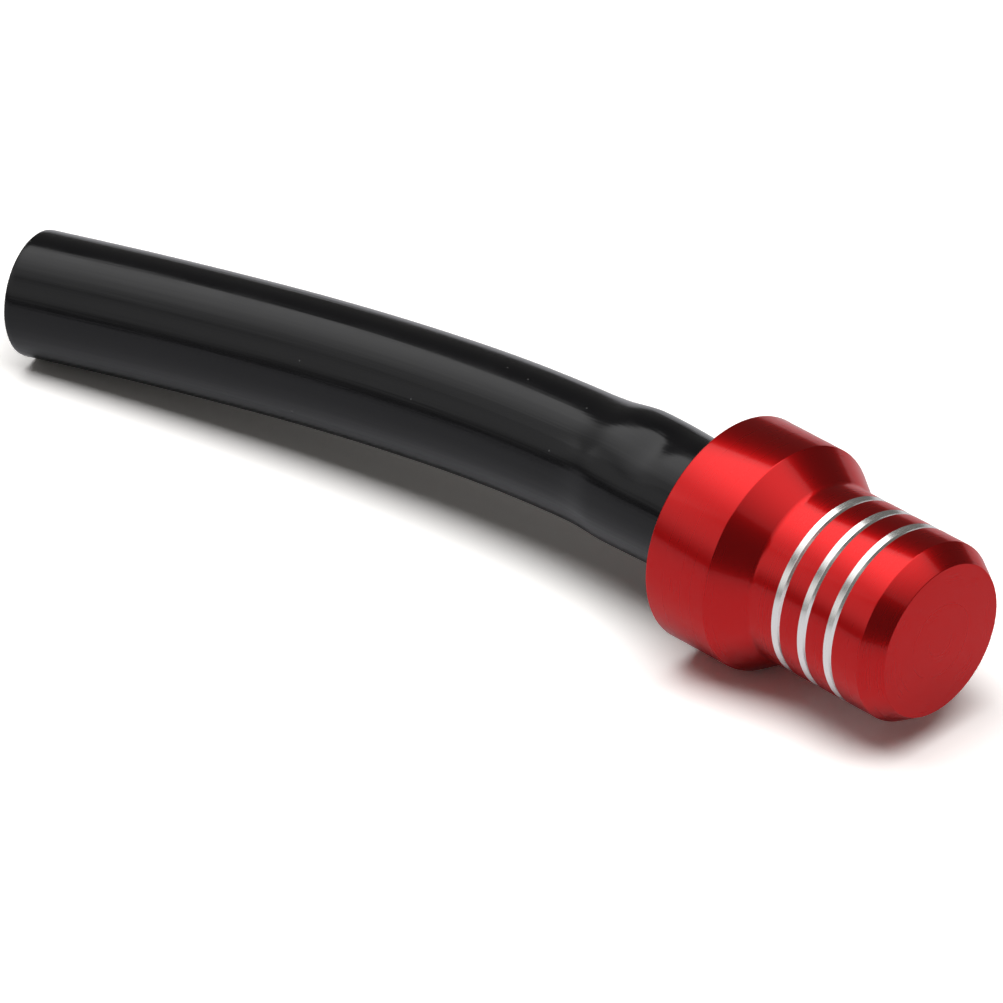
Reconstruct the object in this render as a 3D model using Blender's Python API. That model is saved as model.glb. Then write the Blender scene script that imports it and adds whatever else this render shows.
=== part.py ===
"""One-way tank vent: a turned valve body on a short bent hose, lying on a level surface.

Metres, +Z up. The origin is below the middle of the whole object, on the surface that it lies on.
The turned pieces are modelled along +X, from the collar's rear face towards the nose, and are
children of the empty valve_axis, which stands where that rear face is and turns them into place.
"""

import math

import bmesh
import bpy
import numpy as np
from mathutils import Vector
from mathutils.geometry import interpolate_bezier

# Where the valve lies: the centre of the collar's rear face, and the turn of its axis about +Z.
COLLAR_X = 0.0217
COLLAR_Y = -0.00045
VALVE_YAW = math.radians(-15)

# Outer shape of the valve body. Lengths run along the axis, forwards from the rear face. A groove is a
# V whose lowest line lies GROOVE_LOWEST ahead of its middle.
COLLAR_RADIUS = 0.0090
COLLAR_LENGTH = 0.0058
CONE_LENGTH = 0.0028
BARREL_RADIUS = 0.00715
CHAMFER_LENGTH = 0.0017
NOSE_RADIUS = 0.0061
BODY_LENGTH = 0.0211
GROOVE_PLACES = (0.01134, 0.01391, 0.01647)
GROOVE_WIDTH = 0.00082
GROOVE_DEPTH = 0.00013
GROOVE_LOWEST = 0.00003

# Inside of the valve body.
CUP_RADIUS = 0.0067
CUP_DEPTH = 0.0066
CUP_LEAD_IN = 0.0003
CHAMBER_RADIUS = 0.0056
CHAMBER_END = 0.0183
SNAP_GROOVE_RADIUS = 0.0073
SNAP_GROOVE_START = 0.0038
SNAP_GROOVE_END = 0.0047

# The hose: bore, outside, and how it swells over the nipple's bead. The swell is higher above than
# below, because the hose starts to droop there, and it dies out slowly towards the collar.
HOSE_RADIUS = 0.0050
HOSE_BORE_RADIUS = 0.0032
HOSE_GRIP = 0.0026
SWELL_ABOVE = 0.00052
SWELL_BELOW = 0.00022
SWELL_INSIDE = 0.0004
SWELL_SPREAD = 0.0018
SWELL_TAIL = 0.0060
HOSE_FINE_STEP = 0.0011
HOSE_FINE_LENGTH = 0.0176
HOSE_STEP = 0.0030
ROUTE_POINTS = 16
TANGENT_REACH = 0.0004

# The hose's centreline, from the end that is held in the collar to the open end.
HOSE_ROUTE = (
    (0.02421, -0.00112, 0.00900),
    (0.01950, 0.00014, 0.00900),
    (0.01479, 0.00140, 0.00897),
    (0.01007, 0.00262, 0.00884),
    (0.00530, 0.00367, 0.00865),
    (0.00051, 0.00457, 0.00841),
    (-0.00431, 0.00529, 0.00812),
    (-0.00915, 0.00586, 0.00780),
    (-0.01400, 0.00633, 0.00745),
    (-0.01885, 0.00669, 0.00708),
    (-0.02371, 0.00695, 0.00668),
    (-0.02857, 0.00714, 0.00628),
    (-0.03343, 0.00728, 0.00586),
    (-0.03829, 0.00735, 0.00543),
    (-0.04315, 0.00738, 0.00500),
)

# The stem: nipple, flange with air holes, and valve chamber, turned in one piece.
NIPPLE_TIP = -0.0116
NIPPLE_TIP_RADIUS = 0.0025
BEAD_PLACE = -0.0094
BEAD_RADIUS = 0.00335
BEAD_CROWN = 0.0001
BEAD_FRONT = 0.0006
BEAD_BACK = 0.0004
BEAD_END = 0.0010
SHANK_RADIUS = 0.00295
PASSAGE_RADIUS = 0.0013
FLANGE_START = 0.0049
FLANGE_END = 0.0063
FLANGE_RADIUS = 0.0064
RIM_GROOVE_START = 0.0052
RIM_GROOVE_END = 0.0060
RIM_GROOVE_RADIUS = 0.0057
TUBE_RADIUS = 0.0040
TUBE_END = 0.0160
SPRING_FLOOR = 0.0069
BALL_BORE_RADIUS = 0.0026
SEAT_STEP = 0.0134
SEAT_BORE_RADIUS = 0.0031
AIR_HOLES = 6
AIR_HOLE_RADIUS = 0.0005
AIR_HOLE_RING = 0.00475

# Small pieces.
O_RING_SECTION = 0.00028
O_RING_RADIUS = 0.00612
SNAP_START = 0.0039
SNAP_THICKNESS = 0.0007
SNAP_OUTER_RADIUS = 0.0070
SNAP_WIDTH = 0.0009
SNAP_GAP = math.radians(50)
SNAP_LUG = math.radians(20)
SNAP_LUG_WIDTH = 0.0016
SNAP_HOLE_RADIUS = 0.00035
SNAP_HOLE_SHARE = 0.45
BALL_RADIUS = 0.0020
BALL_PLACE = 0.01195
SEAT_START = 0.0137
SEAT_THICKNESS = 0.0009
SEAT_RADIUS = 0.0028
SEAT_HOLE_RADIUS = 0.00125
PLUG_START = 0.0148
PLUG_LENGTH = 0.0018
PLUG_RADIUS = 0.0028
PLUG_HOLE_RADIUS = 0.0009
PLUG_CHAMFER = 0.0002
SLOT_WIDTH = 0.0008
SLOT_DEPTH = 0.0006
WIRE_RADIUS = 0.00017
COIL_RADIUS = 0.0017
SPRING_START = 0.0073
SPRING_LENGTH = 0.0030
END_TURNS = 1.0
WORKING_TURNS = 2.5
END_PITCH = 0.0004

# How finely round things are faceted.
BODY_SIDES = 48
PIECE_SIDES = 32
HOSE_SIDES = 24
COIL_SIDES = 14
O_RING_SIDES = 10
HOLE_SIDES = 12
SNAP_STEPS = 40
BALL_SEGMENTS = 24
BALL_RINGS = 12
CUTTER_REACH = 0.001
SHARP_ANGLE = math.radians(16)
MERGE = 1e-7

# The collar stands on one of its flat facets.
AXIS_HEIGHT = COLLAR_RADIUS * math.cos(math.pi / BODY_SIDES)


def material(name, colour, roughness, metallic):
    made = bpy.data.materials.new(name)
    made.use_nodes = True
    shader = made.node_tree.nodes["Principled BSDF"]
    shader.inputs["Base Color"].default_value = (*colour, 1.0)
    shader.inputs["Roughness"].default_value = roughness
    shader.inputs["Metallic"].default_value = metallic
    made.diffuse_color = (*colour, 1.0)
    return made


def add_object(name, mesh, finish, parent):
    """Adds a mesh as a named piece, shaded smooth but for its sharp edges."""
    mesh.shade_smooth()
    mesh.set_sharp_from_angle(angle=SHARP_ANGLE)
    piece = bpy.data.objects.new(name, mesh)
    mesh.materials.append(finish)
    bpy.context.collection.objects.link(piece)
    piece.parent = parent
    return piece


def turned(name, outline, sides, finish, parent):
    """A piece turned about the X axis from (place along the axis, radius) points.

    The outline is closed, unless it starts and ends on the axis.
    """
    shape = bmesh.new()
    half_step = math.pi / sides
    corners = [
        shape.verts.new((x, radius * math.sin(half_step), radius * math.cos(half_step)))
        for x, radius in outline
    ]
    for first, second in zip(corners, corners[1:]):
        shape.edges.new((first, second))
    if outline[0][1] > 0:
        shape.edges.new((corners[-1], corners[0]))
    bmesh.ops.spin(
        shape,
        geom=shape.verts[:] + shape.edges[:],
        cent=(0, 0, 0),
        axis=(1, 0, 0),
        angle=math.tau,
        steps=sides,
        use_merge=True,
    )
    bmesh.ops.remove_doubles(shape, verts=shape.verts[:], dist=MERGE)
    bmesh.ops.recalc_face_normals(shape, faces=shape.faces[:])
    mesh = bpy.data.meshes.new(name)
    shape.to_mesh(mesh)
    shape.free()
    return add_object(name, mesh, finish, parent)


def rod_between(shape, start, end, radius):
    """Adds a capped cylinder from one point to another to a bmesh."""
    rod = bmesh.ops.create_cone(
        shape,
        cap_ends=True,
        segments=HOLE_SIDES,
        radius1=radius,
        radius2=radius,
        depth=(end - start).length,
    )
    turn = (end - start).to_track_quat("Z", "Y").to_matrix().to_4x4()
    turn.translation = (start + end) / 2
    bmesh.ops.transform(shape, matrix=turn, verts=rod["verts"])


def cut(piece, name, shape):
    """Cuts the closed bodies in a bmesh out of a piece."""
    mesh = bpy.data.meshes.new(name)
    shape.to_mesh(mesh)
    shape.free()
    cutter = bpy.data.objects.new(name, mesh)
    bpy.context.collection.objects.link(cutter)
    cutter.parent = piece.parent
    cutter.hide_render = True
    cutter.display_type = "WIRE"
    modifier = piece.modifiers.new(name, "BOOLEAN")
    modifier.operation = "DIFFERENCE"
    modifier.solver = "EXACT"
    modifier.object = cutter


def around(radius, angle, x):
    """A point at an angle round the valve's axis, counted from straight up."""
    return Vector((x, radius * math.sin(angle), radius * math.cos(angle)))


def add_body(axis, finish):
    """The shell: collar, cone, barrel with three cut grooves, chamfer and nose, hollow from behind."""
    cone_end = COLLAR_LENGTH + CONE_LENGTH
    outline = [
        (CHAMBER_END, 0.0),
        (CHAMBER_END, CHAMBER_RADIUS),
        (CUP_DEPTH, CHAMBER_RADIUS),
        (CUP_DEPTH, CUP_RADIUS),
        (SNAP_GROOVE_END, CUP_RADIUS),
        (SNAP_GROOVE_END, SNAP_GROOVE_RADIUS),
        (SNAP_GROOVE_START, SNAP_GROOVE_RADIUS),
        (SNAP_GROOVE_START, CUP_RADIUS),
        (CUP_LEAD_IN, CUP_RADIUS),
        (0.0, CUP_RADIUS + CUP_LEAD_IN),
        (0.0, COLLAR_RADIUS),
        (COLLAR_LENGTH, COLLAR_RADIUS),
        (cone_end, BARREL_RADIUS),
    ]
    for place in GROOVE_PLACES:
        outline += [
            (place - GROOVE_WIDTH / 2, BARREL_RADIUS),
            (place + GROOVE_LOWEST, BARREL_RADIUS - GROOVE_DEPTH),
            (place + GROOVE_WIDTH / 2, BARREL_RADIUS),
        ]
    outline += [
        (BODY_LENGTH - CHAMFER_LENGTH, BARREL_RADIUS),
        (BODY_LENGTH, NOSE_RADIUS),
        (BODY_LENGTH, 0.0),
    ]
    return turned("vent_body", outline, BODY_SIDES, finish, axis)


def add_stem(axis, finish):
    """The insert that carries the hose, the air holes and the valve chamber."""
    outline = [
        (NIPPLE_TIP, PASSAGE_RADIUS),
        (NIPPLE_TIP, NIPPLE_TIP_RADIUS),
        (BEAD_PLACE - BEAD_FRONT, BEAD_RADIUS - BEAD_CROWN),
        (BEAD_PLACE, BEAD_RADIUS),
        (BEAD_PLACE + BEAD_BACK, BEAD_RADIUS - BEAD_CROWN),
        (BEAD_PLACE + BEAD_END, SHANK_RADIUS),
        (FLANGE_START, SHANK_RADIUS),
        (FLANGE_START, FLANGE_RADIUS),
        (RIM_GROOVE_START, FLANGE_RADIUS),
        (RIM_GROOVE_START, RIM_GROOVE_RADIUS),
        (RIM_GROOVE_END, RIM_GROOVE_RADIUS),
        (RIM_GROOVE_END, FLANGE_RADIUS),
        (FLANGE_END, FLANGE_RADIUS),
        (FLANGE_END, TUBE_RADIUS),
        (TUBE_END, TUBE_RADIUS),
        (TUBE_END, SEAT_BORE_RADIUS),
        (SEAT_STEP, SEAT_BORE_RADIUS),
        (SEAT_STEP, BALL_BORE_RADIUS),
        (SPRING_FLOOR, BALL_BORE_RADIUS),
        (SPRING_FLOOR, PASSAGE_RADIUS),
    ]
    stem = turned("valve_stem", outline, PIECE_SIDES, finish, axis)
    holes = bmesh.new()
    for index in range(AIR_HOLES):
        angle = math.tau * (index + 0.5) / AIR_HOLES
        rear = around(AIR_HOLE_RING, angle, FLANGE_START - CUTTER_REACH)
        front = around(AIR_HOLE_RING, angle, FLANGE_END + CUTTER_REACH)
        rod_between(holes, rear, front, AIR_HOLE_RADIUS)
    cut(stem, "air_hole_cutter", holes)
    return stem


def add_o_ring(axis, finish):
    """A round-section ring in the groove of the flange's rim."""
    middle = (RIM_GROOVE_START + RIM_GROOVE_END) / 2
    outline = []
    for step in range(O_RING_SIDES):
        angle = math.tau * step / O_RING_SIDES
        x = middle + O_RING_SECTION * math.cos(angle)
        outline.append((x, O_RING_RADIUS + O_RING_SECTION * math.sin(angle)))
    return turned("stem_o_ring", outline, PIECE_SIDES, finish, axis)


def add_snap_ring(axis, finish):
    """An internal retaining ring: a flat C with a lug and a plier hole at each end."""
    open_from = SNAP_GAP / 2
    sweep = math.tau - SNAP_GAP
    shape = bmesh.new()
    outer = []
    inner = []
    for step in range(SNAP_STEPS + 1):
        angle = open_from + sweep * step / SNAP_STEPS
        from_end = min(angle - open_from, math.tau - open_from - angle)
        width = SNAP_LUG_WIDTH if from_end < SNAP_LUG else SNAP_WIDTH
        outer.append(shape.verts.new(around(SNAP_OUTER_RADIUS, angle, SNAP_START)))
        inner.append(shape.verts.new(around(SNAP_OUTER_RADIUS - width, angle, SNAP_START)))
    for step in range(SNAP_STEPS):
        shape.faces.new((outer[step], outer[step + 1], inner[step + 1], inner[step]))
    raised = bmesh.ops.extrude_face_region(shape, geom=shape.faces[:])
    moved = [item for item in raised["geom"] if isinstance(item, bmesh.types.BMVert)]
    bmesh.ops.translate(shape, vec=(SNAP_THICKNESS, 0, 0), verts=moved)
    bmesh.ops.recalc_face_normals(shape, faces=shape.faces[:])
    mesh = bpy.data.meshes.new("retaining_ring")
    shape.to_mesh(mesh)
    shape.free()
    ring = add_object("retaining_ring", mesh, finish, axis)
    holes = bmesh.new()
    lug_middle = SNAP_OUTER_RADIUS - SNAP_LUG_WIDTH / 2
    for side in (-1, 1):
        angle = side * (open_from + SNAP_LUG * SNAP_HOLE_SHARE)
        rear = around(lug_middle, angle, SNAP_START - CUTTER_REACH)
        front = around(lug_middle, angle, SNAP_START + SNAP_THICKNESS + CUTTER_REACH)
        rod_between(holes, rear, front, SNAP_HOLE_RADIUS)
    cut(ring, "plier_hole_cutter", holes)
    return ring


def add_seat_ring(axis, finish):
    """The soft flat ring that the ball closes on."""
    outline = [
        (SEAT_START, SEAT_HOLE_RADIUS),
        (SEAT_START, SEAT_RADIUS),
        (SEAT_START + SEAT_THICKNESS, SEAT_RADIUS),
        (SEAT_START + SEAT_THICKNESS, SEAT_HOLE_RADIUS),
    ]
    return turned("seat_ring", outline, PIECE_SIDES, finish, axis)


def add_seat_plug(axis, finish):
    """The slotted screw plug with the air hole through it."""
    end = PLUG_START + PLUG_LENGTH
    outline = [
        (PLUG_START, PLUG_HOLE_RADIUS),
        (PLUG_START, PLUG_RADIUS),
        (end - PLUG_CHAMFER, PLUG_RADIUS),
        (end, PLUG_RADIUS - PLUG_CHAMFER),
        (end, PLUG_HOLE_RADIUS),
    ]
    plug = turned("seat_plug", outline, PIECE_SIDES, finish, axis)
    slot = bmesh.new()
    bmesh.ops.create_cube(slot, size=1.0)
    bmesh.ops.scale(slot, vec=(2 * SLOT_DEPTH, SLOT_WIDTH, 3 * PLUG_RADIUS), verts=slot.verts[:])
    bmesh.ops.translate(slot, vec=(end, 0, 0), verts=slot.verts[:])
    cut(plug, "driver_slot_cutter", slot)
    return plug


def add_ball(axis, finish):
    """The check ball, with its origin at its centre, on the valve's axis."""
    shape = bmesh.new()
    bmesh.ops.create_uvsphere(
        shape,
        u_segments=BALL_SEGMENTS,
        v_segments=BALL_RINGS,
        radius=BALL_RADIUS,
    )
    mesh = bpy.data.meshes.new("check_ball")
    shape.to_mesh(mesh)
    shape.free()
    ball = add_object("check_ball", mesh, finish, axis)
    ball.location = (BALL_PLACE, 0, 0)
    return ball


def spring_height(turn):
    """How far along the axis the wire has climbed, with a closer turn at each end."""
    turns = 2 * END_TURNS + WORKING_TURNS
    climb = SPRING_LENGTH - 2 * WIRE_RADIUS
    working_pitch = (climb - 2 * END_TURNS * END_PITCH) / WORKING_TURNS
    if turn <= END_TURNS:
        return END_PITCH * turn
    if turn >= turns - END_TURNS:
        return climb - END_PITCH * (turns - turn)
    return END_PITCH * END_TURNS + working_pitch * (turn - END_TURNS)


def add_spring(axis, finish):
    """The return spring, a wire along a helix."""
    turns = 2 * END_TURNS + WORKING_TURNS
    count = int(turns * COIL_SIDES) + 1
    curve = bpy.data.curves.new("valve_spring", "CURVE")
    curve.dimensions = "3D"
    curve.bevel_depth = WIRE_RADIUS
    curve.bevel_resolution = 1
    curve.use_fill_caps = True
    wire = curve.splines.new("POLY")
    wire.points.add(count - 1)
    for index, point in enumerate(wire.points):
        turn = turns * index / (count - 1)
        x = SPRING_START + WIRE_RADIUS + spring_height(turn)
        point.co = (*around(COIL_RADIUS, math.tau * turn, x), 1.0)
    curve.materials.append(finish)
    spring = bpy.data.objects.new("valve_spring", curve)
    bpy.context.collection.objects.link(spring)
    spring.parent = axis
    return spring


def hose_centreline():
    """Closely spaced points on the smooth cubic through the route's points, and their arc lengths."""
    route = [Vector(point) for point in HOSE_ROUTE]
    ahead = [2 * route[0] - route[1]] + route + [2 * route[-1] - route[-2]]
    line = []
    for index in range(1, len(ahead) - 2):
        before, start, end, after = ahead[index - 1 : index + 3]
        leaving = start + (end - before) / 6
        arriving = end - (after - start) / 6
        line += interpolate_bezier(start, leaving, arriving, end, ROUTE_POINTS + 1)[:-1]
    line.append(route[-1])
    lengths = np.concatenate([[0.0], np.cumsum([(b - a).length for a, b in zip(line, line[1:])])])
    return np.array([tuple(point) for point in line]), lengths


def hose_stations(total):
    """Distances along the hose at which it gets a ring: closer together over the nipple."""
    fine = np.arange(0.0, HOSE_FINE_LENGTH, HOSE_FINE_STEP)
    rest = np.linspace(HOSE_FINE_LENGTH, total, round((total - HOSE_FINE_LENGTH) / HOSE_STEP) + 1)
    return np.concatenate([fine, rest])


def swell(distance):
    """How far the hose is swollen at a distance along it, from 0 to 1 over the bead."""
    past_bead = distance - (HOSE_GRIP - BEAD_PLACE)
    spread = SWELL_SPREAD if past_bead > 0 else SWELL_TAIL
    return math.exp(-0.5 * (past_bead / spread) ** 2)


def add_hose(finish):
    """The hose: one wall between an outer and an inner tube, swollen over the bead, cut square."""
    line, lengths = hose_centreline()
    shape = bmesh.new()
    outer = []
    inner = []
    for distance in hose_stations(lengths[-1]):
        reach = (distance, distance - TANGENT_REACH, distance + TANGENT_REACH)
        centre, behind, ahead = (
            Vector([np.interp(place, lengths, line[:, axis]) for axis in range(3)]) for place in reach
        )
        along = (ahead - behind).normalized()
        side = along.cross(Vector((0, 0, 1))).normalized()
        up = side.cross(along)
        swollen = swell(distance)
        outer_ring = []
        inner_ring = []
        for step in range(HOSE_SIDES):
            angle = math.tau * (step + 0.5) / HOSE_SIDES
            spoke = side * math.sin(angle) + up * math.cos(angle)
            above = (1 + math.cos(angle)) / 2
            rise = swollen * (SWELL_BELOW + (SWELL_ABOVE - SWELL_BELOW) * above)
            bore = HOSE_BORE_RADIUS + SWELL_INSIDE * swollen
            outer_ring.append(shape.verts.new(centre + (HOSE_RADIUS + rise) * spoke))
            inner_ring.append(shape.verts.new(centre + bore * spoke))
        outer.append(outer_ring)
        inner.append(inner_ring)
    walls = [*zip(outer, outer[1:]), *zip(inner, inner[1:]), (outer[0], inner[0]), (outer[-1], inner[-1])]
    for first, second in walls:
        for step in range(HOSE_SIDES):
            turn = (step + 1) % HOSE_SIDES
            shape.faces.new((first[step], first[turn], second[turn], second[step]))
    bmesh.ops.recalc_face_normals(shape, faces=shape.faces[:])
    mesh = bpy.data.meshes.new("vent_hose")
    shape.to_mesh(mesh)
    shape.free()
    return add_object("vent_hose", mesh, finish, None)


def main():
    for leftover in list(bpy.data.objects):
        bpy.data.objects.remove(leftover)
    red_anodised = material("red_anodised", (0.62, 0.012, 0.016), 0.28, 1.0)
    brass = material("brass", (0.72, 0.53, 0.25), 0.3, 1.0)
    steel = material("spring_steel", (0.55, 0.55, 0.56), 0.3, 1.0)
    polished_steel = material("ball_steel", (0.75, 0.75, 0.76), 0.12, 1.0)
    black_hose = material("black_hose", (0.012, 0.012, 0.013), 0.22, 0.0)
    nitrile = material("nitrile", (0.02, 0.02, 0.02), 0.6, 0.0)

    axis = bpy.data.objects.new("valve_axis", None)
    bpy.context.collection.objects.link(axis)
    axis.location = (COLLAR_X, COLLAR_Y, AXIS_HEIGHT)
    axis.rotation_euler = (0, 0, VALVE_YAW)

    add_body(axis, red_anodised)
    add_stem(axis, brass)
    add_o_ring(axis, nitrile)
    add_snap_ring(axis, steel)
    add_spring(axis, steel)
    add_ball(axis, polished_steel)
    add_seat_ring(axis, nitrile)
    add_seat_plug(axis, brass)
    add_hose(black_hose)


main()
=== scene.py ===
"""The looks of the one-way tank vent: red anodised valve body on a short, bent, glossy black hose.

Metres, in the CAD model's frame. The turned pieces are modelled along +X, from the collar's rear
face towards the nose, and stand where the valve's axis lies.
"""

import math

import bmesh
import bpy
import numpy as np
from mathutils import Matrix, Vector
from mathutils.geometry import interpolate_bezier


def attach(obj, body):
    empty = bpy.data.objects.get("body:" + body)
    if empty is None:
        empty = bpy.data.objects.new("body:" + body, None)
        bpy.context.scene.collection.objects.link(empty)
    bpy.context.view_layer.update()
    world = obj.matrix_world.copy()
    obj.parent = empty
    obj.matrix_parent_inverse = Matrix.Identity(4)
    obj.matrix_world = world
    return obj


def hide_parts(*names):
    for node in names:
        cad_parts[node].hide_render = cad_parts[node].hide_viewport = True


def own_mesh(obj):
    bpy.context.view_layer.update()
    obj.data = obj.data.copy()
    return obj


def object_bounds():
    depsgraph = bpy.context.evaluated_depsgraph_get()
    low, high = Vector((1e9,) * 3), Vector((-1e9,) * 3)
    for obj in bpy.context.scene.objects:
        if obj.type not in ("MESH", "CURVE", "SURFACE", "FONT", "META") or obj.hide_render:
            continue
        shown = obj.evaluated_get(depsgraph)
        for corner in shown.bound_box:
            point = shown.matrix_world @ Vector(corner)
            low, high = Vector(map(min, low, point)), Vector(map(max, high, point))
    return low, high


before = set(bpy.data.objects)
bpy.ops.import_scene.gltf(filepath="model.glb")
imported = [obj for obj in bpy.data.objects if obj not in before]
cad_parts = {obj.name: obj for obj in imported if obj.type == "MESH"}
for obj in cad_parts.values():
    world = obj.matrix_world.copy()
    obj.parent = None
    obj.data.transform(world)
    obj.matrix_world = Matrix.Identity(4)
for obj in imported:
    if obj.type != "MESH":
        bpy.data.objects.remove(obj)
cad_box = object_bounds()

# Where the valve lies: the centre of the collar's rear face, and the turn of its axis about +Z.
COLLAR_RADIUS = 0.0090
VALVE_YAW = math.radians(-15)
VALVE_PLACE = Vector((0.0217, -0.00045, COLLAR_RADIUS))
VALVE = Matrix.Translation(VALVE_PLACE) @ Matrix.Rotation(VALVE_YAW, 4, "Z")

# Outer shape of the valve body. Lengths run along the axis, forwards from the rear face. A groove is a
# V whose lowest line lies GROOVE_LOWEST ahead of its middle, cut through the red layer to bright metal.
COLLAR_LENGTH = 0.0058
CONE_LENGTH = 0.0028
BARREL_RADIUS = 0.00715
CHAMFER_LENGTH = 0.0017
NOSE_RADIUS = 0.0061
BODY_LENGTH = 0.0211
GROOVE_PLACES = (0.01134, 0.01391, 0.01647)
GROOVE_WIDTH = 0.00082
GROOVE_DEPTH = 0.00013
GROOVE_LOWEST = 0.00003
ANODISED_DEPTH = 0.000008

# Inside of the valve body.
CUP_RADIUS = 0.0067
CUP_DEPTH = 0.0066
CUP_LEAD_IN = 0.0003
CHAMBER_RADIUS = 0.0056
CHAMBER_END = 0.0183
SNAP_GROOVE_RADIUS = 0.0073
SNAP_GROOVE_START = 0.0038
SNAP_GROOVE_END = 0.0047

# The stem: nipple, flange with air holes, and valve chamber, turned in one piece.
NIPPLE_TIP = -0.0116
NIPPLE_TIP_RADIUS = 0.0025
BEAD_PLACE = -0.0094
BEAD_RADIUS = 0.00335
BEAD_CROWN = 0.0001
BEAD_FRONT = 0.0006
BEAD_BACK = 0.0004
BEAD_END = 0.0010
SHANK_RADIUS = 0.00295
PASSAGE_RADIUS = 0.0013
FLANGE_START = 0.0049
FLANGE_END = 0.0063
FLANGE_RADIUS = 0.0064
RIM_GROOVE_START = 0.0052
RIM_GROOVE_END = 0.0060
RIM_GROOVE_RADIUS = 0.0057
TUBE_RADIUS = 0.0040
TUBE_END = 0.0160
SPRING_FLOOR = 0.0069
BALL_BORE_RADIUS = 0.0026
SEAT_STEP = 0.0134
SEAT_BORE_RADIUS = 0.0031
AIR_HOLES = 6
AIR_HOLE_RADIUS = 0.0005
AIR_HOLE_RING = 0.00475

# Small pieces. The plug's thread is a row of plain rings.
O_RING_SECTION = 0.00028
O_RING_RADIUS = 0.00612
SNAP_START = 0.0039
SNAP_THICKNESS = 0.0007
SNAP_OUTER_RADIUS = 0.0070
SNAP_WIDTH = 0.0009
SNAP_GAP = math.radians(50)
SNAP_LUG = math.radians(20)
SNAP_LUG_WIDTH = 0.0016
SNAP_LUG_BLEND = math.radians(6)
SNAP_HOLE_RADIUS = 0.00035
SNAP_HOLE_SHARE = 0.45
BALL_RADIUS = 0.0020
BALL_PLACE = 0.01195
SEAT_START = 0.0137
SEAT_THICKNESS = 0.0009
SEAT_RADIUS = 0.0028
SEAT_HOLE_RADIUS = 0.00125
PLUG_START = 0.0148
PLUG_END = 0.0166
PLUG_RADIUS = 0.0028
PLUG_HOLE_RADIUS = 0.0009
PLUG_CHAMFER = 0.0002
THREAD_START = 0.0149
THREAD_END = 0.0163
THREAD_RINGS = 5
THREAD_DEPTH = 0.00015
SLOT_WIDTH = 0.0008
SLOT_DEPTH = 0.0006
WIRE_RADIUS = 0.00017
COIL_RADIUS = 0.0017
SPRING_START = 0.0073
SPRING_LENGTH = 0.0030
END_TURNS = 1.0
WORKING_TURNS = 2.5
END_PITCH = 0.0004

# Edge radii: five that the turned pieces share, then those of single corners.
HAIR_EDGE = 0.00005
FINE_EDGE = 0.0001
BROKEN_EDGE = 0.00015
SOFT_EDGE = 0.0002
ROUND_EDGE = 0.0003
CHAMBER_EDGE = 0.0004
SNAP_GROOVE_EDGE = 0.00004
REAR_EDGE = 0.00012
COLLAR_EDGE = 0.00022
CONE_EDGE = 0.0009
GROOVE_EDGES = (0.00003, 0.00006, 0.00002)
NOSE_EDGE = 0.00009
SEAT_HOLE_EDGE = 0.00012
HOSE_EDGE = 0.00018

# The hose. The swell over the nipple's bead is higher above than below and dies out slowly towards the
# collar. The shallow dent lies between the two, DENT_ANGLE round from the top.
HOSE_RADIUS = 0.0050
HOSE_BORE_RADIUS = 0.0032
HOSE_GRIP = 0.0026
SWELL_ABOVE = 0.00052
SWELL_BELOW = 0.00022
SWELL_INSIDE = 0.0004
SWELL_SPREAD = 0.0018
SWELL_TAIL = 0.0060
DENT_PLACE = -0.0062
DENT_ANGLE = math.radians(-18)
DENT_DEPTH = 0.00036
DENT_LENGTH = 0.0011
DENT_WIDTH = 0.0016

# The hose's centreline, from the end that is held in the collar to the open end.
HOSE_ROUTE = (
    (0.02421, -0.00112, 0.00900),
    (0.01950, 0.00014, 0.00900),
    (0.01479, 0.00140, 0.00897),
    (0.01007, 0.00262, 0.00884),
    (0.00530, 0.00367, 0.00865),
    (0.00051, 0.00457, 0.00841),
    (-0.00431, 0.00529, 0.00812),
    (-0.00915, 0.00586, 0.00780),
    (-0.01400, 0.00633, 0.00745),
    (-0.01885, 0.00669, 0.00708),
    (-0.02371, 0.00695, 0.00668),
    (-0.02857, 0.00714, 0.00628),
    (-0.03343, 0.00728, 0.00586),
    (-0.03829, 0.00735, 0.00543),
    (-0.04315, 0.00738, 0.00500),
)

# The camera looks at VIEW_TARGET from VIEW_DISTANCE away.
VIEW_TARGET = Vector((0.0112, -0.0161, 0.0170))
VIEW_AZIMUTH = math.radians(29.38)
VIEW_ELEVATION = math.radians(33.69)
VIEW_DISTANCE = 0.7275
LENS = 358.9
SENSOR_WIDTH = 36
SEEN_FROM = 0.01
SEEN_TO = 100

# The lights. Places and sizes of the key and the lamp, which hang at LIGHT_HEIGHT, are given for a height
# of 1. The key fades with the distance from KEY_SPOT, its brightest; the fill fades up and down from its
# middle, in shares of its height.
LIGHT_HEIGHT = 3.0
KEY_CENTRE = (-0.7, -0.05)
KEY_SIZE = (3.0, 1.34)
KEY_SPOT = (0.35, 0.50)
KEY_REACH = (0.2, 1.4)
KEY_LEVELS = (2.2, 0.5)
LAMP_CENTRE = (0.05, -0.15)
LAMP_SIZE = (1.3, 0.70)
LAMP_BRIGHT = 5.2
FILL_PLACE = (-2.553, -2.553, 1.722)
FILL_SIZE = (4.6, 3.3)
FILL_BRIGHT = 0.75
FILL_REACH = (0.1, 0.5)
FILL_LEVELS = (1.0, 0.0)
ROOM_COLOUR = (0.140, 0.136, 0.130)
FLOOR_SEEN = (1.29, 1.27, 1.25)
FLOOR_REFLECTED = (0.66, 0.66, 0.69)
FLOOR_REACH = 40.0
FLOOR_GAP = 0.00003

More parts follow.
